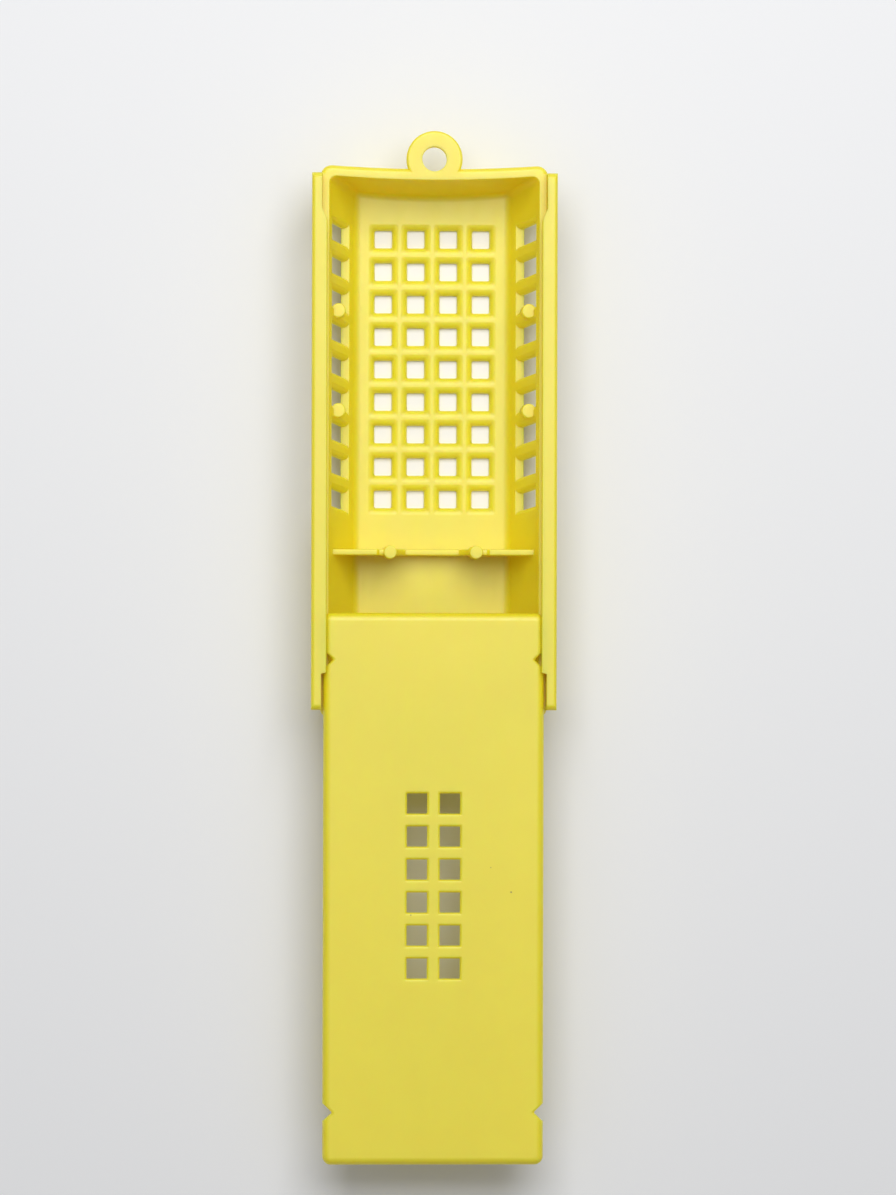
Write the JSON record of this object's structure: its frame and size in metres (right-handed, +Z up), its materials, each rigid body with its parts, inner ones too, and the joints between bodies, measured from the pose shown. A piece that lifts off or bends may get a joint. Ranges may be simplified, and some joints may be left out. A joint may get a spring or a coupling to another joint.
{
  "type": "queen bee cage",
  "caption": "Slide-top queen bee cage: a shallow grilled plastic tray with a candy room and a hanging ring, closed by a ventilated cover that slides in its rails.",
  "frame": {"origin": "middle of the tray's flat underside, where the cage lies on a table", "axes": "+Y runs along the cage towards its hanging ring, +X runs across it, and +Z runs up out of the tray's mouth, through the cover"},
  "size_m": [0.0372, 0.1568, 0.015],
  "materials": {
    "tray_plastic": "satin yellow moulded plastic",
    "cover_plastic": "satin yellow moulded plastic"
  },
  "bodies": {
    "tray": {"tray": "tray_plastic"},
    "cover": {"sliding_cover": "cover_plastic"}
  },
  "joints": [
    {"name": "cover_slide", "type": "slide", "parent": "tray", "child": "cover", "axis": [0, -1, 0], "range_m": [-0.0678, 0.009]}
  ]
}
